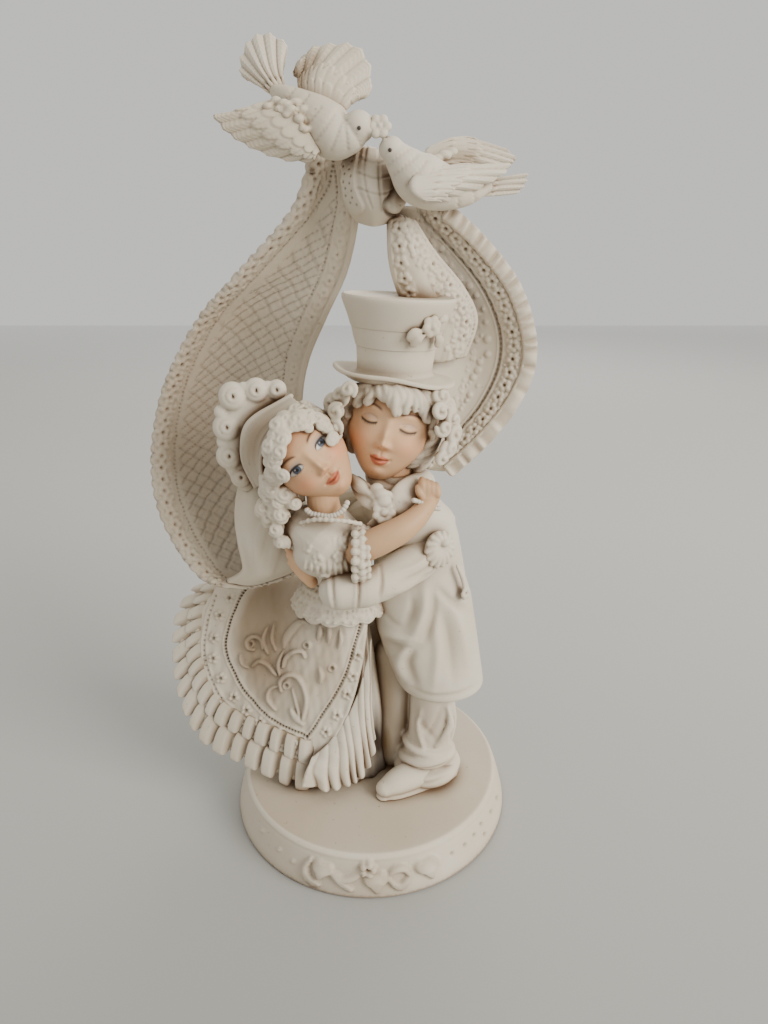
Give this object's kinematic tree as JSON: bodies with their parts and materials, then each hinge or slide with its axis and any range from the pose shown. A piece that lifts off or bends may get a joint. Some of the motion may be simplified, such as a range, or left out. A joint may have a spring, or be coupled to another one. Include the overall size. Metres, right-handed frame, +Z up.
{
  "type": "porcelain cake topper",
  "caption": "Bisque porcelain bride and groom embracing on a round base, under a swept lace veil held up by two doves.",
  "frame": {"origin": "centre of the round base's flat underside, on the table", "axes": "+Z up, -Y towards the viewer of the figures' fronts, +X to that viewer's right, on the groom's side"},
  "size_m": [0.1257, 0.1, 0.2462],
  "materials": {
    "porcelain": "unglazed matt bisque, hand painted faces"
  },
  "bodies": {
    "root": {"cake_topper": "porcelain"}
  },
  "joints": []
}
